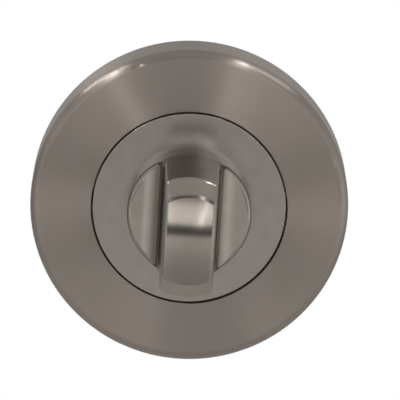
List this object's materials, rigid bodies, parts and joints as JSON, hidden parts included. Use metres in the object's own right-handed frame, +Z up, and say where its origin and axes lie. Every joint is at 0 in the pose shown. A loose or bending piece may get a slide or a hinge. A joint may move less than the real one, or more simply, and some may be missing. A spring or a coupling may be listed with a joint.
{
  "type": "bathroom thumb turn",
  "caption": "Bathroom thumb turn: a turned knob with a milled finger grip in a round, rounded rose, with plate, spindle and door fixings.",
  "frame": {"origin": "on the knob's axis, in the plane of the door face that the rose is fixed to", "axes": "+Y along the spindle into the door, -Y towards the person who turns the knob, +Z up"},
  "size_m": [0.052, 0.0884, 0.052],
  "materials": {
    "satin_cover": "satin nickel, circular brushed",
    "matt_ring": "satin nickel, blasted matt",
    "brushed_knob": "satin nickel, brushed",
    "zinc_plate": "bright zinc plated",
    "nylon": "natural nylon",
    "spring_steel": "phosphated spring steel",
    "bright_steel": "bright zinc plated steel",
    "yellow_steel": "yellow passivated steel"
  },
  "bodies": {
    "rose": {"rose_cover": "satin_cover", "base_plate": "zinc_plate", "cover_snap_ring": "spring_steel", "hub_bush": "nylon", "glide_washer": "nylon", "fixing_bolt_left": "bright_steel", "fixing_bolt_right": "bright_steel", "bolt_washer_left": "bright_steel", "bolt_washer_right": "bright_steel", "wood_screw_top": "yellow_steel", "wood_screw_bottom": "yellow_steel"},
    "knob": {"turn_knob": "brushed_knob", "knob_face_ring": "matt_ring", "stop_pin": "bright_steel", "spindle": "bright_steel", "spindle_sleeve": "bright_steel", "spindle_roll_pin": "spring_steel", "thrust_washer": "bright_steel", "curved_spring_washer": "spring_steel", "circlip": "spring_steel"}
  },
  "joints": [
    {"name": "knob_turn", "type": "hinge", "parent": "rose", "child": "knob", "pos_m": [0, 0, 0], "axis": [0, 1, 0], "range_deg": [0, 90]}
  ]
}
